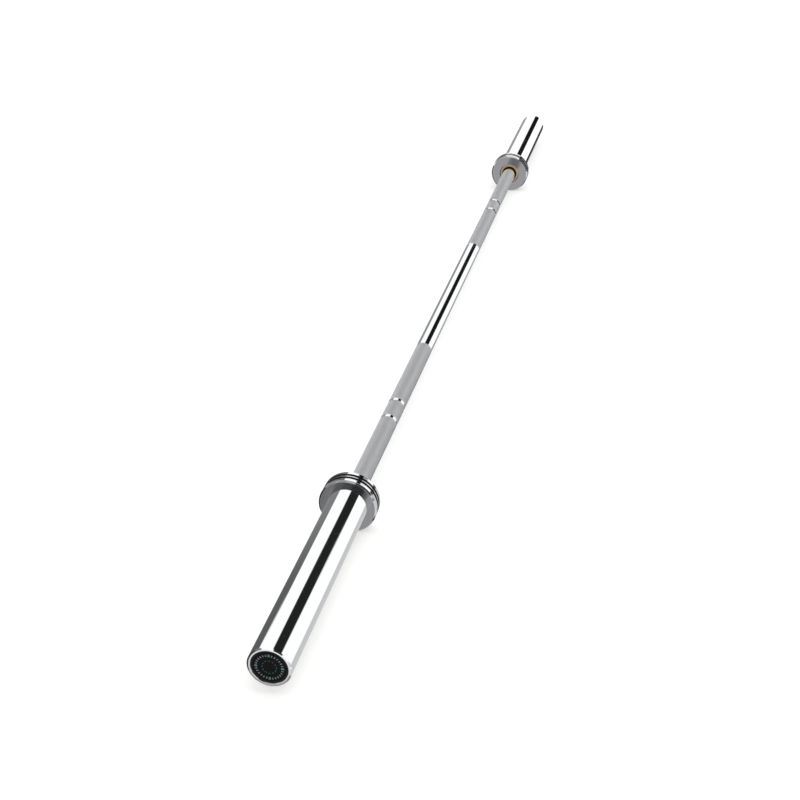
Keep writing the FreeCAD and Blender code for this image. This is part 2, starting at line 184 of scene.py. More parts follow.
def bushBronze(name, look):
    # Sintered bronze, machined: warm tan metal with dark pin-point pores and oil in them
    material, tree, shader = newMaterial(name)
    spot = addNode(tree, "ShaderNodeTexCoord").outputs["Object"]
    pores = addNode(tree, "ShaderNodeTexVoronoi", {"Vector": spot, "Scale": 1 / look["poreSize"]})
    poreEdge = (0.12, 0.4)  # where a pore gives way to metal, as a share of its cell
    solid = addNode(tree, "ShaderNodeMapRange", {
        0: pores.outputs["Distance"], 1: poreEdge[0], 2: poreEdge[1], 3: 0, 4: 1})
    colour = addNode(tree, "ShaderNodeMix", {
        0: solid.outputs[0], 6: linear(look["pore"]), 7: linear(look["metal"])}, data_type="RGBA")
    tree.links.new(colour.outputs[2], shader.inputs["Base Color"])
    shader.inputs["Metallic"].default_value = 1
    shader.inputs["Roughness"].default_value = look["rough"]
    return material


def mouldedPlug():
    # Injection-moulded ABS, spark-eroded mould: black with a fine even grain that dulls the shine
    look = {"black": "#0A0B0B", "grain": 0.35 * mm, "grainDepth": 0.02 * mm, "grainStrength": 0.6,
            "rough": 0.42, "ior": 1.54, "shine": 0.3}
    material, tree, shader = newMaterial("moulded_abs_black")
    spot = addNode(tree, "ShaderNodeTexCoord").outputs["Object"]
    grain = addNode(tree, "ShaderNodeTexNoise", {"Vector": spot, "Scale": 1 / look["grain"], "Detail": 2})
    bump = addNode(tree, "ShaderNodeBump", {
        "Height": grain.outputs["Fac"], "Strength": look["grainStrength"], "Distance": look["grainDepth"]})
    tree.links.new(bump.outputs[0], shader.inputs["Normal"])
    shader.inputs["Base Color"].default_value = linear(look["black"])
    shader.inputs["Roughness"].default_value = look["rough"]
    shader.inputs["IOR"].default_value = look["ior"]
    shader.inputs["Specular IOR Level"].default_value = look["shine"]
    return material


def glossFilm():
    # Black polyester film on the plug, coated against glare: smooth, a little orange peel from the glue
    look = {"black": "#060707", "peel": 3 * mm, "peelDepth": 0.01 * mm, "peelStrength": 0.4,
            "rough": 0.2, "ior": 1.57, "shine": 0.1}
    material, tree, shader = newMaterial("gloss_polyester_film")
    spot = addNode(tree, "ShaderNodeTexCoord").outputs["Object"]
    peel = addNode(tree, "ShaderNodeTexNoise", {"Vector": spot, "Scale": 1 / look["peel"], "Detail": 1})
    bump = addNode(tree, "ShaderNodeBump", {
        "Height": peel.outputs["Fac"], "Strength": look["peelStrength"], "Distance": look["peelDepth"]})
    tree.links.new(bump.outputs[0], shader.inputs["Normal"])
    shader.inputs["Base Color"].default_value = linear(look["black"])
    shader.inputs["Roughness"].default_value = look["rough"]
    shader.inputs["IOR"].default_value = look["ior"]
    shader.inputs["Specular IOR Level"].default_value = look["shine"]
    return material


def screenInk(name, pale, worn):
    # Screen-printed ink: flat colour, slightly thin where the squeegee skipped
    look = {"skip": 0.8 * mm, "thin": 0.3, "full": 0.5, "rough": 0.5}
    material, tree, shader = newMaterial(name)
    spot = addNode(tree, "ShaderNodeTexCoord").outputs["Object"]
    skips = addNode(tree, "ShaderNodeTexNoise", {"Vector": spot, "Scale": 1 / look["skip"], "Detail": 3})
    cover = addNode(tree, "ShaderNodeMapRange", {
        0: skips.outputs["Fac"], 1: look["thin"], 2: look["full"], 3: 0, 4: 1})
    colour = addNode(tree, "ShaderNodeMix", {
        0: cover.outputs[0], 6: linear(worn), 7: linear(pale)}, data_type="RGBA")
    tree.links.new(colour.outputs[2], shader.inputs["Base Color"])
    shader.inputs["Roughness"].default_value = look["rough"]
    return material


def steelStock(name, look):
    # Bare steel of the inner rings, ground or phosphated, with a grain along the strip
    material, tree, shader = newMaterial(name)
    spot = addNode(tree, "ShaderNodeTexCoord").outputs["Object"]
    grain = addNode(tree, "ShaderNodeTexNoise", {"Vector": spot, "Scale": 1 / look["grain"], "Detail": 3})
    colour = addNode(tree, "ShaderNodeMix", {
        0: grain.outputs["Fac"], 6: linear(look["dark"]), 7: linear(look["pale"])}, data_type="RGBA")
    tree.links.new(colour.outputs[2], shader.inputs["Base Color"])
    shader.inputs["Metallic"].default_value = 1
    shader.inputs["Roughness"].default_value = look["rough"]
    return material


shaftChrome = polishedChrome("hard_chrome_shaft", {
    "plate": "#E6E7E9", "mirror": 0.02, "haze": 0.05, "patch": 70 * mm,
    "streak": (2.5 * mm, 30 * mm, 30 * mm), "markRough": 0.03})  # polishing marks run round the shaft
sleeveChrome = polishedChrome("hard_chrome_sleeve", {
    "plate": "#E8E9EB", "mirror": 0.02, "haze": 0.05, "patch": 90 * mm,
    "streak": (60 * mm, 0.8 * mm, 0.8 * mm), "markRough": 0.05})  # plates slide on along the sleeve
knurlFinish = knurledChrome()
faceFinish = turnedFace()
# painted shade: near black for the grooves of the collar's rim and the floor of its recess
grooveShadeSteel = turnedSteel("groove_steel_painted_shade", {
    "dark": "#141516", "pale": "#28292B", "patch": 4 * mm, "rough": 0.42})
landFinish = turnedSteel("turned_land_steel", {
    "dark": "#B6B7BA", "pale": "#DCDDDF", "patch": 6 * mm, "rough": 0.1})  # the buff reached these
bronze = bushBronze("sintered_bronze", {
    "metal": "#CFB28C", "pore": "#8A6C4A", "poreSize": 0.45 * mm, "rough": 0.33})
bronzeMouthShade = bushBronze("bronze_mouth_painted_shade", {  # the mouth and bore, dark brown: painted shade
    "metal": "#5C4730", "pore": "#2E2013", "poreSize": 0.6 * mm, "rough": 0.4})
plugPlastic = mouldedPlug()
discFilm = glossFilm()
paleInk = screenInk("screen_ink_grey", "#7E8281", "#454747")
tealInk = screenInk("screen_ink_teal", "#4E8F9A", "#24484E")
deepInk = screenInk("screen_ink_deep_teal", "#2F5F60", "#1A3435")
springSteel = steelStock("phosphated_spring_steel", {
    "dark": "#2C2C2E", "pale": "#4A4A4B", "grain": 0.5 * mm, "rough": 0.45})
washerSteel = steelStock("ground_steel", {
    "dark": "#9C9DA0", "pale": "#C4C5C7", "grain": 0.7 * mm, "rough": 0.25})
print("materials ready:", len(bpy.data.materials))


# turning: an outline of corners (distance along the bar, radius, edge radius, finish of the stretch after it)
turning = {
    "edgeStep": math.radians(15),  # largest turn between two points of a rounded edge
    "edgeHold": 0.4,  # a ring beside each edge, as a share of its radius, keeps the long faces' shading flat
    "weld": 0.004 * mm, "sharpTurn": math.radians(28),
}


def roundedOutline(corners):
    outline = []
    for i, (x, r, edge, finish) in enumerate(corners):
        here, before, after = (Vector(corners[k % len(corners)][:2]) for k in (i, i - 1, i + 1))
        if edge == 0:
            outline.append((x, r, finish))
            continue
        back, ahead = (before - here).normalized(), (after - here).normalized()
        turn = math.pi - back.angle(ahead)
        cut = edge * math.tan(turn / 2)
        centre = here + (back + ahead).normalized() * edge / math.cos(turn / 2)
        first, last = here + back * cut - centre, here + ahead * cut - centre
        hold = turning["edgeHold"] * edge
        earlier = corners[i - 1][3]
        outline.append((*(here + back * (cut + hold)), earlier))
        count = max(2, math.ceil(turn / turning["edgeStep"]))
        for k in range(count + 1):
            part = k / count * turn
            spot = centre + (first * math.sin(turn - part) + last * math.sin(part)) / math.sin(turn)
            outline.append((*spot, finish))
        outline.append((*(here + ahead * (cut + hold)), finish))
    return outline


def turnRings(shape, outline, sides, hand=1, closed=True):
    rings = []
    for x, r, finish in outline:
        if r == 0:
            rings.append([shape.verts.new((hand * x, 0, 0))])
            continue
        angles = [k * fullTurn / sides for k in range(sides)]
        rings.append([shape.verts.new((hand * x, r * math.cos(a), r * math.sin(a))) for a in angles])
    pairs = list(zip(rings, rings[1:] + rings[:1], outline))
    for ring, after, (x, r, finish) in pairs if closed else pairs[:-1]:
        if len(ring) == len(after) == 1:
            continue  # both on the axis
        for k in range(sides):
            loop = [ring[k % len(ring)], ring[(k + 1) % len(ring)],
                    after[(k + 1) % len(after)], after[k % len(after)]]
            face = shape.faces.new(list(dict.fromkeys(loop)))
            face.material_index = finish
            face.smooth = True


def finishPiece(name, shape, materials, body, slot, *nodes):
    bmesh.ops.remove_doubles(shape, verts=shape.verts, dist=turning["weld"])
    bmesh.ops.recalc_face_normals(shape, faces=shape.faces)
    mesh = bpy.data.meshes.new(name)
    shape.to_mesh(mesh)
    shape.free()
    mesh.set_sharp_from_angle(angle=turning["sharpTurn"])
    for material in materials:
        mesh.materials.append(material)
    piece = bpy.data.objects.new(name, mesh)
    scene.collection.objects.link(piece)
    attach(piece, body)
    if nodes:
        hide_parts(*nodes)
    return piece


def turnedPiece(name, corners, sides, materials, hand, body, slot, node):
    shape = bmesh.new()
    turnRings(shape, roundedOutline(corners), sides, hand)
    return finishPiece(name, shape, materials, body, slot, node)


# geometry nodes: a tree with named inputs, and the plain mesh that it makes

def newTree(name, inputs):
    tree = bpy.data.node_groups.new(name, "GeometryNodeTree")
    for label, kind in inputs.items():
        tree.interface.new_socket(name=label, in_out="INPUT", socket_type="NodeSocket" + kind)
    tree.interface.new_socket(name="Geometry", in_out="OUTPUT", socket_type="NodeSocketGeometry")
    return tree, addNode(tree, "NodeGroupInput").outputs


def meshFromTree(tree, values):
    holder = bpy.data.objects.new(tree.name, bpy.data.meshes.new(tree.name))
    scene.collection.objects.link(holder)
    modifier = holder.modifiers.new(tree.name, "NODES")
    modifier.node_group = tree
    for socket in tree.interface.items_tree:
        if socket.in_out == "INPUT":
            modifier[socket.identifier] = values[socket.name]
    mesh = bpy.data.meshes.new_from_object(holder.evaluated_get(bpy.context.evaluated_depsgraph_get()))
    holder.modifiers.remove(modifier)
    bpy.data.objects.remove(holder)
    return mesh


def addMesh(shape, mesh, finish):
    mesh.polygons.foreach_set("material_index", [finish] * len(mesh.polygons))
    shape.from_mesh(mesh)
    bpy.data.meshes.remove(mesh)


def knurlTree():
    tree, given = newTree("diamond_knurl", {
        "Zone Start": "Float", "Zone Length": "Float", "Plain Radius": "Float", "Crest Rise": "Float",
        "Pit Depth": "Float", "Run Out": "Float", "Sides": "Int", "Rows": "Int", "Material": "Material"})
    tube = addNode(tree, "GeometryNodeMeshCylinder", {
        "Vertices": given["Sides"], "Side Segments": given["Rows"], "Radius": 1,
        "Depth": given["Zone Length"]}, fill_type="NONE")
    # crests and pits take turns like the squares of a chessboard: the sum of side and row is even or odd
    spot = addNode(tree, "ShaderNodeSeparateXYZ", {0: addNode(tree, "GeometryNodeInputPosition").outputs[0]})
    angle = addNode(tree, "ShaderNodeMath", {0: spot.outputs["Y"], 1: spot.outputs["X"]}, operation="ARCTAN2")
    turnShare = addNode(tree, "ShaderNodeMath", {0: angle.outputs[0], 1: fullTurn}, operation="DIVIDE")
    side = addNode(tree, "ShaderNodeMath", {0: turnShare.outputs[0], 1: given["Sides"]}, operation="MULTIPLY")
    sideCount = addNode(tree, "ShaderNodeMath", {0: side.outputs[0]}, operation="ROUND")
    lengthShare = addNode(tree, "ShaderNodeMath", {
        0: spot.outputs["Z"], 1: given["Zone Length"]}, operation="DIVIDE")
    row = addNode(tree, "ShaderNodeMath", {0: lengthShare.outputs[0], 1: 0.5}, operation="ADD")
    rowPlace = addNode(tree, "ShaderNodeMath", {0: row.outputs[0], 1: given["Rows"]}, operation="MULTIPLY")
    rowCount = addNode(tree, "ShaderNodeMath", {0: rowPlace.outputs[0]}, operation="ROUND")
    both = addNode(tree, "ShaderNodeMath", {0: sideCount.outputs[0], 1: rowCount.outputs[0]}, operation="ADD")
    crest = addNode(tree, "ShaderNodeMath", {0: both.outputs[0], 1: 2}, operation="FLOORED_MODULO")
    pit = addNode(tree, "ShaderNodeMath", {0: given["Pit Depth"], 1: -1}, operation="MULTIPLY")
    height = addNode(tree, "ShaderNodeMapRange", {
        0: crest.outputs[0], 1: 0, 2: 1, 3: pit.outputs[0], 4: given["Crest Rise"]})
    # the knurl fades to the plain radius at both ends of its zone
    fromMiddle = addNode(tree, "ShaderNodeMath", {0: spot.outputs["Z"]}, operation="ABSOLUTE")
    half = addNode(tree, "ShaderNodeMath", {0: given["Zone Length"], 1: 0.5}, operation="MULTIPLY")
    fromEnd = addNode(tree, "ShaderNodeMath", {
        0: half.outputs[0], 1: fromMiddle.outputs[0]}, operation="SUBTRACT")
    fade = addNode(tree, "ShaderNodeMapRange", {
        0: fromEnd.outputs[0], 1: 0, 2: given["Run Out"], 3: 0, 4: 1})
    radius = addNode(tree, "ShaderNodeMath", {
        0: height.outputs[0], 1: fade.outputs[0], 2: given["Plain Radius"]}, operation="MULTIPLY_ADD")
    middle = addNode(tree, "ShaderNodeMath", {0: given["Zone Start"], 1: half.outputs[0]}, operation="ADD")
    along = addNode(tree, "ShaderNodeMath", {0: spot.outputs["Z"], 1: middle.outputs[0]}, operation="ADD")
    across = addNode(tree, "ShaderNodeMath", {
        0: spot.outputs["X"], 1: radius.outputs[0]}, operation="MULTIPLY")
    up = addNode(tree, "ShaderNodeMath", {0: spot.outputs["Y"], 1: radius.outputs[0]}, operation="MULTIPLY")
    place = addNode(tree, "ShaderNodeCombineXYZ", {
        "X": along.outputs[0], "Y": across.outputs[0], "Z": up.outputs[0]})
    rolled = addNode(tree, "GeometryNodeSetPosition", {
        "Geometry": tube.outputs["Mesh"], "Position": place.outputs[0]})
    facets = addNode(tree, "GeometryNodeTriangulate", {
        "Mesh": rolled.outputs[0]}, quad_method="SHORTEST_DIAGONAL")
    flat = addNode(tree, "GeometryNodeSetShadeSmooth", {"Geometry": facets.outputs[0], "Shade Smooth": False})
    real = addNode(tree, "GeometryNodeRealizeInstances", {"Geometry": flat.outputs[0]})
    dressed = addNode(tree, "GeometryNodeSetMaterial", {
        "Geometry": real.outputs[0], "Material": given["Material"]})
    addNode(tree, "NodeGroupOutput", {"Geometry": dressed.outputs[0]})
    return tree


# shaft: plain centre, knurled grips, two pairs of ring marks, and the journals inside the sleeves
shaft = {
    "plainCentre": 430 * mm, "knurlStop": 12 * mm, "edge": 0.3 * mm, "endChamfer": 1 * mm,
    "markSpans": (810 * mm, 910 * mm), "markWidth": 6.6 * mm, "markDepth": 0.15 * mm, "markEdge": 0.1 * mm,
    "diamondsRound": 40, "diamondLength": 1.9 * mm,  # drawn coarser than a real knurl, to show
    "crestRise": 0.1 * mm, "pitDepth": 0.25 * mm, "runOut": 1.6 * mm,
    "seamHold": 0.3 * mm,  # a ring beside each seam keeps the knurl out of the plain lengths' shading
    "washerGap": 0.1 * mm, "journalStep": 2.5 * mm, "clipPlay": 0.05 * mm, "clipGroove": 0.5 * mm,
}


def makeShaft():
    sides = 2 * shaft["diamondsRound"]  # one point of the mesh for each crest and each pit
    reach, crestRadius = turnedSize("shaft")[1:]
    grip = crestRadius - shaft["crestRise"]
    markFloor = grip - shaft["markDepth"]
    journal = grip - shaft["journalStep"]
    collarFace = turnedSize("right_collar")[0]
    shoulder = turnedSize("right_shoulder_washer")[0] - shaft["washerGap"]
    clipStart, clipEnd = turnedSize("right_shaft_circlip")[:2]
    grooveStart, grooveEnd = clipStart - shaft["clipPlay"], clipEnd + shaft["clipPlay"]
    grooveFloor = journal - shaft["clipGroove"]
    edge, chamfer, markEdge = shaft["edge"], shaft["endChamfer"], shaft["markEdge"]
    half = shaft["markWidth"] / 2
    marks = [(span / 2 - half, span / 2 + half) for span in shaft["markSpans"]]
    knurlStart, knurlEnd = shaft["plainCentre"] / 2, collarFace - shaft["knurlStop"]
    stops = [knurlStart, *[place for mark in marks for place in mark], knurlEnd]
    zones = list(zip(stops[0::2], stops[1::2]))

    shape = bmesh.new()
    hold = shaft["seamHold"]
    plainRings = (-knurlStart, hold - knurlStart, 0, knurlStart - hold, knurlStart)
    turnRings(shape, [(x, grip, 0) for x in plainRings], sides, closed=False)
    journalEnd = roundedOutline([
        (knurlEnd, grip, 0, 0), (knurlEnd + hold, grip, 0, 0), (shoulder, grip, edge, 0),
        (shoulder, journal, 0, 0), (grooveStart, journal, 0, 0),
        (grooveStart, grooveFloor, 0, 0), (grooveEnd, grooveFloor, 0, 0), (grooveEnd, journal, 0, 0),
        (reach - chamfer, journal, 0, 0), (reach, journal - chamfer, 0, 0), (reach, 0, 0, 0)])
    for hand in ends.values():
        for start, end in marks:
            turnRings(shape, roundedOutline([
                (start, grip, 0, 0), (start + markEdge, grip, markEdge / 2, 0),
                (start + markEdge, markFloor, markEdge / 2, 0), (end - markEdge, markFloor, markEdge / 2, 0),
                (end - markEdge, grip, markEdge / 2, 0), (end, grip, 0, 0)]), sides, hand, closed=False)
        turnRings(shape, journalEnd, sides, hand, closed=False)
    tree = knurlTree()
    rowLength = shaft["diamondLength"] / 2
    finishes = (shaftChrome, knurlFinish)
    for start, end in zones + [(-end, -start) for start, end in zones]:
        addMesh(shape, meshFromTree(tree, {
            "Zone Start": start, "Zone Length": end - start, "Plain Radius": grip,
            "Crest Rise": shaft["crestRise"], "Pit Depth": shaft["pitDepth"], "Run Out": shaft["runOut"],
            "Sides": sides, "Rows": round((end - start) / rowLength), "Material": knurlFinish,
        }), finishes.index(knurlFinish))
    return finishPiece("knurled_bar", shape, finishes, "shaft", "shaft_chrome", "shaft")


bar = makeShaft()
print("shaft turned and knurled:", len(bar.data.polygons), "faces")


# sleeve: the tube that takes the plates, with the spigot inside the collar and the room for the outer bush
sleeve = {
    "sides": 144, "spigotStep": 2 * mm, "wall": 8.5 * mm,
    "bevelDepth": 2 * mm, "bevelLength": 0.8 * mm, "mouthChamfer": 0.4 * mm, "soft": 0.1 * mm,
    "bushSeat": 14.05 * mm, "bushShank": 30 * mm, "clipGroove": 1 * mm, "clipPlay": 0.05 * mm,
}


def makeSleeve(side, hand):
    start, end, radius = turnedSize(side + "_sleeve")
    stop = turnedSize(side + "_collar")[1]
    capSeat, _, capRadius = turnedSize(side + "_end_cap")
    bushStart, _, chamber = turnedSize(side + "_outer_bush")
    clipStart, clipEnd = turnedSize(side + "_sleeve_circlip")[:2]
    grooveStart, grooveEnd = clipStart - sleeve["clipPlay"], clipEnd + sleeve["clipPlay"]
    spigot, bore = radius - sleeve["spigotStep"], radius - sleeve["wall"]
    grooveFloor = chamber + sleeve["clipGroove"]
    flangeSeat, bushSeat = bushStart + sleeve["bushShank"], sleeve["bushSeat"]
    mouth, soft = sleeve["mouthChamfer"], sleeve["soft"]
    chrome, turned = range(2)
    turnedPiece(side + "_plate_sleeve", [
        (start, bore, 0, chrome), (start, spigot, 0, chrome),
        (stop, spigot, 0, chrome), (stop, radius, 0, chrome),
        (end - sleeve["bevelLength"], radius, 0, chrome), (end, radius - sleeve["bevelDepth"], soft, chrome),
        (end, capRadius + mouth, soft, turned), (end - mouth, capRadius, soft, chrome),
        (capSeat, capRadius, 0, chrome), (capSeat, chamber, 0, chrome),
        (grooveEnd, chamber, 0, chrome), (grooveEnd, grooveFloor, 0, chrome),
        (grooveStart, grooveFloor, 0, chrome), (grooveStart, chamber, 0, chrome),
        (flangeSeat, chamber, 0, chrome), (flangeSeat, bushSeat, 0, chrome),
        (bushStart, bushSeat, 0, chrome), (bushStart, bore, 0, chrome),
    ], sleeve["sides"], (sleeveChrome, landFinish), hand, side + "_sleeve", "sleeve_chrome", side + "_sleeve")


# collar: the stop for the plates, two grooves round its polished rim, dark with painted shade, turned faces
collar = {
    "sides": 192, "innerChamfer": 2 * mm, "outerChamfer": 2 * mm, "edge": 0.35 * mm, "softEdge": 0.2 * mm,
    "land": 2.2 * mm, "grooveWidth": 4.4 * mm, "grooveDepth": 2 * mm, "grooveSlope": 0.4 * mm,
    "taper": 0.014,  # the buff leaves the rim a hair smaller towards the grip
    "flange": 4 * mm, "flangeGap": 0.9 * mm, "recessEdge": 0.5 * mm,
}


def makeCollar(side, hand):
    inner, outer, radius = turnedSize(side + "_collar")
    bushFace, _, flangeRadius = turnedSize(side + "_inner_bush")
    sleeveStart, _, sleeveRadius = turnedSize(side + "_sleeve")
    spigot, bore = sleeveRadius - sleeve["spigotStep"], sleeveRadius - sleeve["wall"]
    recess, recessFloor = flangeRadius + collar["flangeGap"], bushFace + collar["flange"]
    edge, soft, recessEdge = collar["edge"], collar["softEdge"], collar["recessEdge"]
    innerChamfer, outerChamfer = collar["innerChamfer"], collar["outerChamfer"]
    middle, halfLand = (inner + outer) / 2, collar["land"] / 2
    # dark is the painted shade in the grooves and on the recess floor
    rim, face, dark, land = range(4)

    def rimAt(x):
        return radius - collar["taper"] * (outer - x)

    def groove(start, after):
        end, floor = start + collar["grooveWidth"], radius - collar["grooveDepth"]
        slope = collar["grooveSlope"]
        return [(start, rimAt(start), soft, dark), (start + slope, floor, soft, dark),
                (end - slope, floor, soft, dark), (end, rimAt(end), soft, after)]

    piece = turnedPiece(side + "_stop_collar", [
        (inner, recess + recessEdge, soft, face), (inner, rimAt(inner) - innerChamfer, edge, rim),
        (inner + innerChamfer, rimAt(inner), edge, rim),
        *groove(middle - halfLand - collar["grooveWidth"], land), *groove(middle + halfLand, rim),
        (outer - outerChamfer, radius, edge, rim), (outer, radius - outerChamfer, edge, face),
        (outer, sleeveRadius, 0, face), (outer - sleeve["spigotStep"], spigot, 0, face),
        (sleeveStart, spigot, 0, face), (sleeveStart, bore, 0, face), (recessFloor, bore, 0, dark),
        (recessFloor, recess, 0, dark), (inner + recessEdge, recess, 0, face),
    ], collar["sides"], (sleeveChrome, faceFinish, grooveShadeSteel, landFinish),
        hand, side + "_sleeve", "collar_steel", side + "_collar")
    piece.visible_glossy = False  # the sleeve's mirror stays clear right up to the stop


# inner bush: the bronze ring that shows round the shaft
bush = {"sides": 128, "wall": 3.95 * mm, "mouth": 2.3 * mm, "mouthDepth": 3.2 * mm, "edge": 0.5 * mm,
        "lip": 1.6 * mm, "flange": 4 * mm, "soft": 0.25 * mm}


def makeBush(side, hand):
    start, end, flangeRadius = turnedSize(side + "_inner_bush")
    shank = flangeRadius - bush["lip"]
    bore = shank - bush["wall"]
    flangeBack = start + bush["flange"]
    soft, edge = bush["soft"], bush["edge"]
    # the mouth and bore take the dark brown painted shade
    clean, mouthShade = range(2)
    turnedPiece(side + "_bronze_bush", [
        (start, bore + bush["mouth"], soft, clean), (start, flangeRadius, edge, clean),
        (flangeBack, flangeRadius, soft, clean), (flangeBack, shank, 0, clean), (end, shank, edge, clean),
        (end, bore, edge, mouthShade), (start + bush["mouthDepth"], bore, soft, mouthShade),
    ], bush["sides"], (bronze, bronzeMouthShade), hand, side + "_sleeve", "bronze", side + "_inner_bush")


# end cap and disc: moulded plug in the sleeve's end, with a printed disc let into its face
cap = {"sides": 128, "wall": 3 * mm, "faceThickness": 3 * mm, "edge": 0.5 * mm, "soft": 0.2 * mm,
       "discGap": 0.1 * mm}


def makeCap(side, hand):
    start, end, radius = turnedSize(side + "_end_cap")
    discBack, discFace, discRadius = turnedSize(side + "_cap_disc")
    hollow, soft = radius - cap["wall"], cap["soft"]
    seat, faceBack = discRadius + cap["discGap"], end - cap["faceThickness"]
    turnedPiece(side + "_black_plug", [
        (start, hollow, 0, 0), (start, radius, soft, 0), (end, radius, cap["edge"], 0), (end, seat, soft, 0),
        (discBack, seat, 0, 0), (discBack, 0, 0, 0), (faceBack, 0, 0, 0), (faceBack, hollow, 0, 0),
    ], cap["sides"], (plugPlastic,), hand, side + "_sleeve", "cap_plastic", side + "_end_cap")
    turnedPiece(side + "_face_disc", [
        (discBack, 0, 0, 0), (discBack, discRadius, 0, 0),
        (discFace, discRadius, soft, 0), (discFace, 0, 0, 0),
    ], cap["sides"], (discFilm,), hand, side + "_sleeve", "disc_print", side + "_cap_disc")
    return discFace, discRadius


# print on the disc: a plain ring of ticks, four teal bars in it and a dashed teal ring
discPrint = {
    "ink": 0.05 * mm,
    "rings": (  # place is a share of the disc's radius; one mark in every gap is left out, none where it is 0
        {"place": 0.78, "marks": 28, "gap": 7, "length": 2.4 * mm, "width": 1.3 * mm, "finish": paleInk},
        {"place": 0.78, "marks": 4, "gap": 0, "length": 3.2 * mm, "width": 2.2 * mm, "finish": tealInk},
        {"place": 0.42, "marks": 12, "gap": 0, "length": 0.8 * mm, "width": 2.4 * mm, "finish": deepInk},
    ),
}


def tickTree():
    tree, given = newTree("printed_ticks", {
        "Face": "Float", "Ring Radius": "Float", "Marks": "Int", "Gap Every": "Int", "Mark Length": "Float",
        "Mark Width": "Float", "Ink": "Float", "Material": "Material"})
    index = addNode(tree, "GeometryNodeInputIndex").outputs[0]
    step = addNode(tree, "ShaderNodeMath", {0: fullTurn, 1: given["Marks"]}, operation="DIVIDE")
    angle = addNode(tree, "ShaderNodeMath", {0: index, 1: step.outputs[0]}, operation="MULTIPLY")
    across = addNode(tree, "ShaderNodeMath", {0: angle.outputs[0]}, operation="SINE")
    up = addNode(tree, "ShaderNodeMath", {0: angle.outputs[0]}, operation="COSINE")
    right = addNode(tree, "ShaderNodeMath", {0: across.outputs[0], 1: -1}, operation="MULTIPLY")
    ray = addNode(tree, "ShaderNodeCombineXYZ", {"Y": right.outputs[0], "Z": up.outputs[0]})
    out = addNode(tree, "ShaderNodeVectorMath", {
        0: ray.outputs[0], "Scale": given["Ring Radius"]}, operation="SCALE")
    face = addNode(tree, "ShaderNodeCombineXYZ", {"X": given["Face"]})
    spot = addNode(tree, "ShaderNodeVectorMath", {0: out.outputs[0], 1: face.outputs[0]}, operation="ADD")
    points = addNode(tree, "GeometryNodePoints", {"Count": given["Marks"], "Position": spot.outputs[0]})
    beat = addNode(tree, "ShaderNodeMath", {0: index, 1: given["Gap Every"]}, operation="MODULO")
    noGap = addNode(tree, "FunctionNodeCompare", {0: given["Gap Every"], 1: 0.5}, operation="LESS_THAN")
    offBeat = addNode(tree, "FunctionNodeCompare", {0: beat.outputs[0], 1: 0.5}, operation="GREATER_THAN")
    kept = addNode(tree, "FunctionNodeBooleanMath", {
        0: noGap.outputs[0], 1: offBeat.outputs[0]}, operation="OR")
    size = addNode(tree, "ShaderNodeCombineXYZ", {
        "X": given["Ink"], "Y": given["Mark Width"], "Z": given["Mark Length"]})
    mark = addNode(tree, "GeometryNodeMeshCube", {"Size": size.outputs[0]})
    turn = addNode(tree, "ShaderNodeCombineXYZ", {"X": angle.outputs[0]})
    marks = addNode(tree, "GeometryNodeInstanceOnPoints", {
        "Points": points.outputs[0], "Selection": kept.outputs[0], "Instance": mark.outputs["Mesh"],
        "Rotation": turn.outputs[0]})
    real = addNode(tree, "GeometryNodeRealizeInstances", {"Geometry": marks.outputs[0]})
    dressed = addNode(tree, "GeometryNodeSetMaterial", {
        "Geometry": real.outputs[0], "Material": given["Material"]})
    addNode(tree, "NodeGroupOutput", {"Geometry": dressed.outputs[0]})
    return tree


ticks = tickTree()


def printDisc(side, hand, face, discRadius):
    inks = [ring["finish"] for ring in discPrint["rings"]]
    shape = bmesh.new()
    for layer, ring in enumerate(discPrint["rings"]):
        addMesh(shape, meshFromTree(ticks, {
            "Face": hand * face, "Ring Radius": ring["place"] * discRadius, "Marks": ring["marks"],
            "Gap Every": ring["gap"], "Mark Length": ring["length"], "Mark Width": ring["width"],
            "Ink": discPrint["ink"], "Material": ring["finish"]}), layer)
    finishPiece(side + "_disc_ink", shape, inks, side + "_sleeve", "disc_print")


# inner pieces that stay as solids, and their finish
innerFinish = {"outer_bush": bronze, "sleeve_circlip": springSteel, "shaft_circlip": springSteel,
               "shoulder_washer": washerSteel, "end_washer": washerSteel}

for side, hand in ends.items():
    makeSleeve(side, hand)
    makeCollar(side, hand)
    makeBush(side, hand)
    printDisc(side, hand, *makeCap(side, hand))
    for name, finish in innerFinish.items():
        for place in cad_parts[f"{side}_{name}"].material_slots:
            place.material = finish
    print(side, "end dressed")


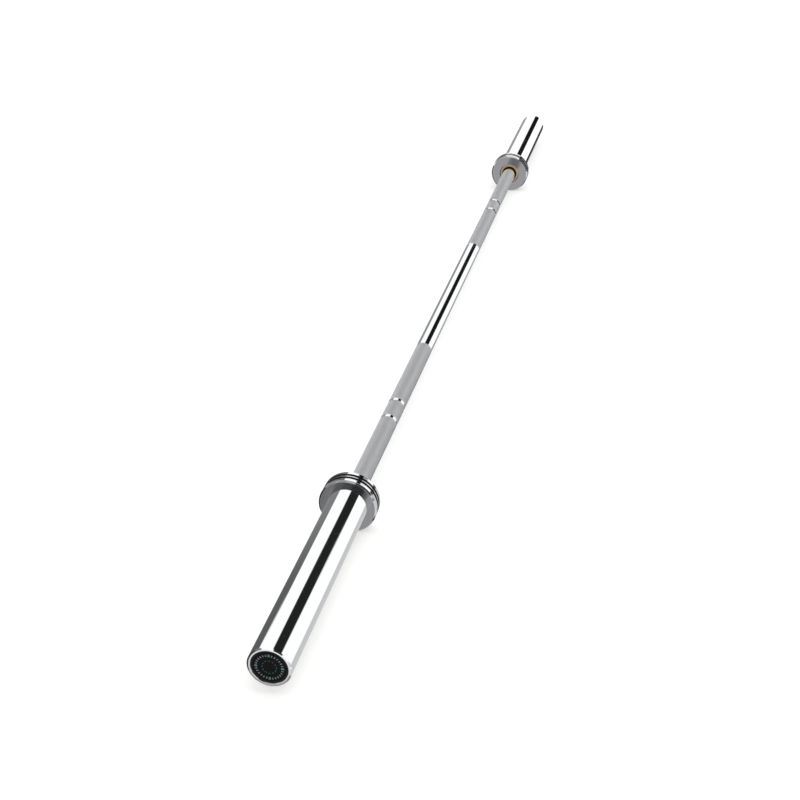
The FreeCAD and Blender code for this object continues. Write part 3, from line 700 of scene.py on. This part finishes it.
# studio: long soft panels round the bar with a dark gap overhead, a pale floor and one soft lamp
studio = {
    "panel": 1.22, "fill": 0.8, "backdrop": 1,  # glow in reflections, light on matt surfaces, white behind
    "soft": 1.6,  # blur of the panels' edges, in degrees
    # sets of panels as the shine of the metal sees them, from straight back (-1) to straight ahead (1) along
    # X, each with a note of what shows it in the main view: where it takes over from the set before, then the
    # angle round the bar, 0 to +Y and 90 up, where each tone starts
    "sets": (
        # bevel of the sleeve's end
        ((-1.2, -1.1), ((-180, 0.02), (-156, 1.0), (35, 0.02))),
        # far collar's inner face
        ((-0.98, -0.968), ((-180, 1.0), (-130, 0.6), (0, 1.0))),
        # near collar's outer face
        ((-0.9, -0.87), (
            (-180, 0.2), (-172, 0.35), (-155, 0.62), (-67.4, 0.2), (30, 0.13), (88, 0.05), (165, 0.2))),
        # turned ring of the sleeve's end, top and then bottom
        ((-0.79, -0.765), ((-180, 0.9), (-100, 0.95), (-30, 0.1), (40, 1.0), (98, 0.03), (140, 1.0))),
        ((-0.752, -0.73), (
            (-180, 0.6), (-100, 0.25), (-66.2, 0.55), (-30, 0.05), (40, 1.0), (98, 0.03), (140, 1.0))),
        # nothing in the main view: for the bar seen from its right end
        ((-0.705, -0.685), (
            (-180, 0.6), (-100, 0.25), (-60, 0.05), (-10, 1.0), (50, 0.5), (98, 0.03), (140, 1.0))),
        # near collar's chamfer
        ((-0.585, -0.565), (
            (-180, 0.6), (-172, 1.0), (-115, 0.22), (-49, 0.05), (-14, 1.0), (40, 0.27), (75, 0.4),
            (104, 0.04), (168, 0.6))),
        # far collar's chamfer, and the bevel's sides
        ((-0.45, -0.38), (
            (-180, 0.06), (-174, 0.6), (-120, 0.3), (-49, 0.04), (8, 0.22), (40, 0.35), (70, 0.65),
            (124, 0.06))),
        # knurl, along its middle and then its edges
        ((-0.1, 0.0), (
            (-180, 0.8), (-168, 0.01), (-118, 0.32), (-62, 0.01), (4, 1.0), (36, 0.24), (92, 0.6),
            (130, 0.8))),
        ((0.36, 0.44), (
            (-180, 0.8), (-174, 0.01), (-115, 0.3), (-65, 0.02), (-50, 1.3), (38, 0.26), (98, 0.8))),
        # near sleeve, from its end to its collar
        ((0.68, 0.72), ((-180, 1.0), (-146, 0.53), (-56, 0.1), (19.5, 1.0), (91, 0.015), (137.5, 1.0))),
        ((0.745, 0.775), ((-180, 1.0), (-144, 0.53), (-56, 0.105), (26.5, 1.0), (91.5, 0.015), (140, 1.0))),
        ((0.78, 0.815), ((-180, 1.0), (-143, 0.53), (-56, 0.2), (27, 1.0), (94, 0.015), (145, 1.0))),
        # near collar's rim
        ((0.829, 0.833), (
            (-180, 0.03), (-172, 0.55), (-56, 0.115), (54, 1.0), (103, 0.015), (120, 1.0), (171, 0.03))),
        # near ring marks
        ((0.850, 0.853), ((-180, 1.0), (-158, 0.25), (-56, 0.27), (33, 1.0), (99, 0.005), (140, 1.0))),
        # plain centre
        ((0.868, 0.874), ((-180, 1.0), (-140, 0.33), (-56, 0.27), (21, 1.0), (87, 0.008), (144, 1.0))),
        # far ring marks and far collar's rim
        ((0.9225, 0.9265), ((-180, 0.005), (-132, 0.6), (-56, 0.2), (40, 1.0), (128, 0.005))),
        # far sleeve
        ((0.9375, 0.9395), (
            (-180, 1.0), (-141, 0.02), (-110, 0.2), (-35, 0.3), (8, 1.0), (97, 0.008), (140, 1.0))),
    ),
}


def grey(tone):
    return (tone, tone, tone, 1)


def panelRamp(tree, place, tones):  # steps of grey round the bar, -180 to 180 degrees
    ramp = addNode(tree, "ShaderNodeValToRGB", {"Fac": place})
    stops = ramp.color_ramp.elements
    stops[0].position, stops[0].color = 0, grey(tones[0][1])
    stops[1].position, stops[1].color = 1, grey(tones[-1][1])
    for (_, before), (angle, after) in zip(tones, tones[1:]):
        for offset, tone in ((-studio["soft"], before), (studio["soft"], after)):
            stop = stops.new((angle + offset + 180) / 360)
            stop.color = grey(tone)
    return ramp.outputs["Color"]


def makeWorld():
    world = bpy.data.worlds.new("studio")
    scene.world = world
    world.use_nodes = True
    world.cycles.sampling_method = "NONE"  # rough metal sees the same panels as the mirrors do
    tree = world.node_tree
    tree.nodes.clear()
    ray = addNode(tree, "ShaderNodeTexCoord").outputs["Generated"]
    parts = addNode(tree, "ShaderNodeSeparateXYZ", {0: ray})
    angle = addNode(tree, "ShaderNodeMath", {
        0: parts.outputs["Z"], 1: parts.outputs["Y"]}, operation="ARCTAN2")
    place = addNode(tree, "ShaderNodeMapRange", {0: angle.outputs[0], 1: -math.pi, 2: math.pi, 3: 0, 4: 1})
    panels = None
    for (begin, full), tones in studio["sets"]:
        ramp = panelRamp(tree, place.outputs[0], tones)
        share = addNode(tree, "ShaderNodeMapRange", {
            0: parts.outputs["X"], 1: begin, 2: full, 3: 0, 4: 1})
        panels = addNode(tree, "ShaderNodeMix", {
            0: share.outputs[0], 6: panels or ramp, 7: ramp}, data_type="RGBA").outputs[2]
    path = addNode(tree, "ShaderNodeLightPath")
    even = addNode(tree, "ShaderNodeBackground", {"Color": (1, 1, 1, 1), "Strength": studio["fill"]})
    shine = addNode(tree, "ShaderNodeBackground", {"Color": panels, "Strength": studio["panel"]})
    white = addNode(tree, "ShaderNodeBackground", {"Color": (1, 1, 1, 1), "Strength": studio["backdrop"]})
    seen = addNode(tree, "ShaderNodeMath", {
        0: path.outputs["Is Camera Ray"], 1: path.outputs["Is Transmission Ray"]}, operation="MAXIMUM")
    lit = addNode(tree, "ShaderNodeMixShader", {
        0: path.outputs["Is Glossy Ray"], 1: even.outputs[0], 2: shine.outputs[0]})
    shown = addNode(tree, "ShaderNodeMixShader", {0: seen.outputs[0], 1: lit.outputs[0], 2: white.outputs[0]})
    addNode(tree, "ShaderNodeOutputWorld", {"Surface": shown.outputs[0]})


floorLook = {"paper": "#D8D8D6", "size": 60, "lift": 0.45, "rough": 0.9,
             "fibre": 1.5 * mm, "fibreDepth": 0.1 * mm, "fibreStrength": 0.02}


def makeFloor():
    # Seamless studio paper: matt and pale, lifted to white for the camera alone
    mesh = bpy.data.meshes.new("floor")
    reach, level = floorLook["size"] / 2, cadBox[0].z
    corners = ((-reach, -reach), (reach, -reach), (reach, reach), (-reach, reach))
    mesh.from_pydata([(x, y, level) for x, y in corners], [], [(0, 1, 2, 3)])
    material, tree, shader = newMaterial("studio_paper")
    spot = addNode(tree, "ShaderNodeTexCoord").outputs["Object"]
    fibre = addNode(tree, "ShaderNodeTexNoise", {"Vector": spot, "Scale": 1 / floorLook["fibre"]})
    bump = addNode(tree, "ShaderNodeBump", {
        "Height": fibre.outputs["Fac"], "Strength": floorLook["fibreStrength"],
        "Distance": floorLook["fibreDepth"]})
    path = addNode(tree, "ShaderNodeLightPath")
    lift = addNode(tree, "ShaderNodeMath", {
        0: path.outputs["Is Camera Ray"], 1: floorLook["lift"]}, operation="MULTIPLY")
    tree.links.new(bump.outputs[0], shader.inputs["Normal"])
    tree.links.new(lift.outputs[0], shader.inputs["Emission Strength"])
    shader.inputs["Base Color"].default_value = linear(floorLook["paper"])
    shader.inputs["Emission Color"].default_value = (1, 1, 1, 1)
    shader.inputs["Roughness"].default_value = floorLook["rough"]
    mesh.materials.append(material)
    floor = bpy.data.objects.new("floor", mesh)
    floor.visible_glossy = False  # the metal shows the panels, low ones too
    scene.collection.objects.link(floor)


lampLook = {"watts": 36, "size": 3.0, "spot": (-0.6, -0.8, 3.0)}


def makeLamp():
    data = bpy.data.lights.new("soft_lamp", "AREA")
    data.energy, data.size = lampLook["watts"], lampLook["size"]
    lamp = bpy.data.objects.new("soft_lamp", data)
    lamp.location = lampLook["spot"]
    lamp.rotation_euler = (-lamp.location).to_track_quat("-Z", "Y").to_euler()
    lamp.visible_glossy = False
    scene.collection.objects.link(lamp)


makeWorld()
makeFloor()
makeLamp()
print("studio set")


# camera: above and behind the left end, looking along the bar
cameraLook = {"spot": (-2.111, -0.39, 0.9276), "aim": (-0.3844, -0.0012, 0), "lens": 62.68, "sensor": 36}
cameraData = bpy.data.cameras.new("camera")
cameraData.lens, cameraData.sensor_width = cameraLook["lens"], cameraLook["sensor"]
camera = bpy.data.objects.new("camera", cameraData)
camera.location = cameraLook["spot"]
camera.rotation_euler = (Vector(cameraLook["aim"]) - camera.location).to_track_quat("-Z", "Y").to_euler()
scene.collection.objects.link(camera)
scene.camera = camera
scene.view_settings.view_transform = "Standard"
